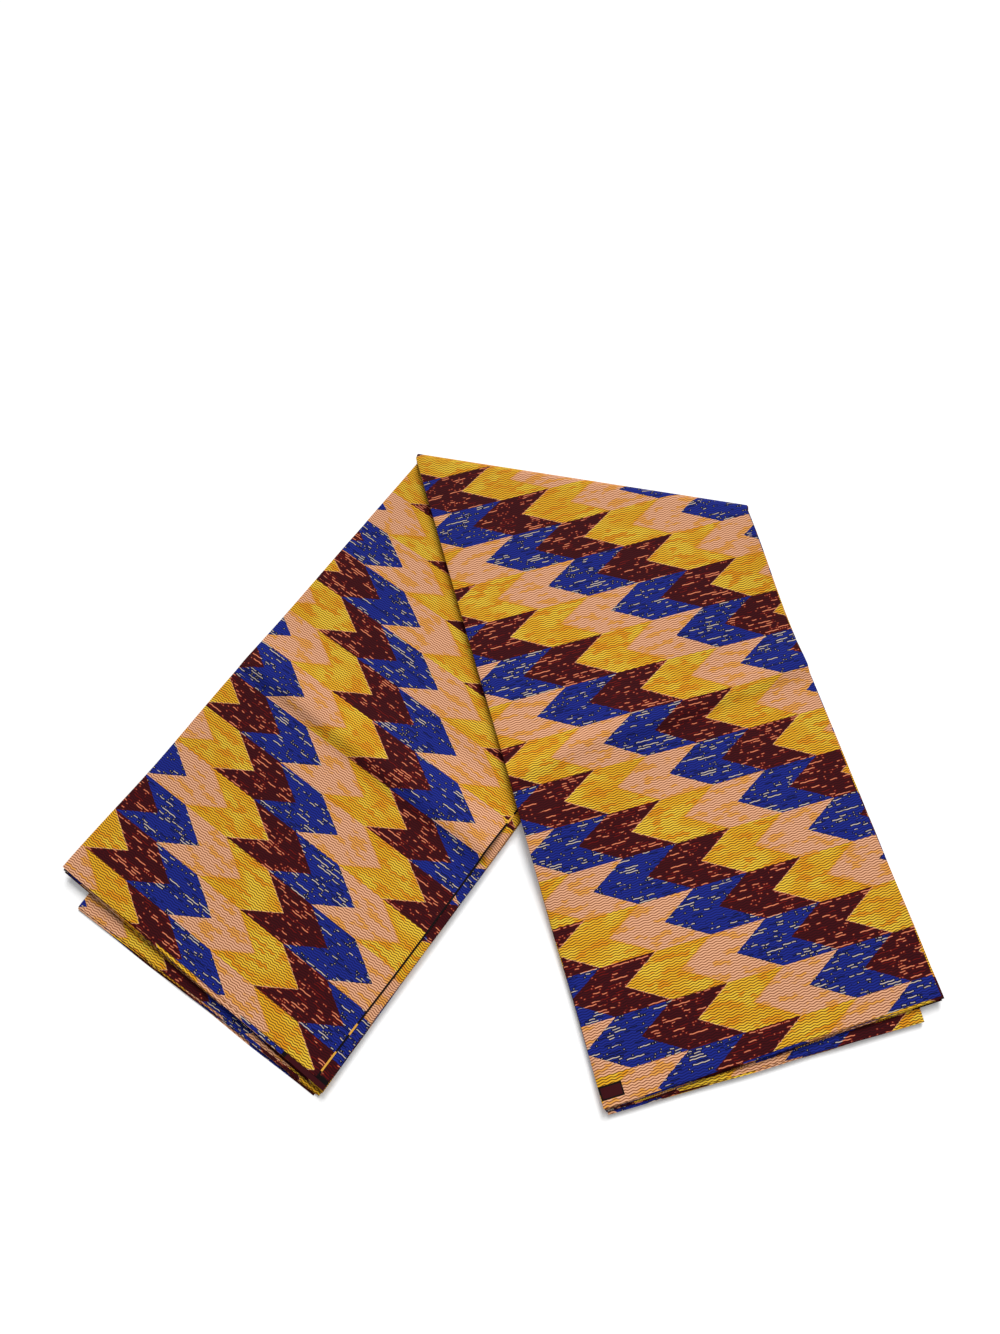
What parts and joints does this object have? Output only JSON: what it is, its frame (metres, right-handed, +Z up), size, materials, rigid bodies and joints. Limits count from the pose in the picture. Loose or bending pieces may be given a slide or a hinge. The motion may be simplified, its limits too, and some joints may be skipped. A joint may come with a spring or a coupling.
{
  "type": "folded printed wrapper cloth",
  "caption": "Length of printed cotton wrapper cloth, folded back and forth into a strip, and the strip folded on the slant.",
  "frame": {"origin": "middle of the cloth's box, on the surface that it lies on", "axes": "+X along the slanted fold, from the apex of the two arms to the fold's other end; +Y towards the slanted fold from the arms' ends; +Z up"},
  "size_m": [0.7712, 0.6092, 0.0208],
  "materials": {
    "printed_cotton": "crisp plain-weave cotton with a faint wax finish, printed in yellow, peach, maroon and blue"
  },
  "bodies": {
    "root": {"wrapper_cloth": "printed_cotton"}
  },
  "joints": []
}
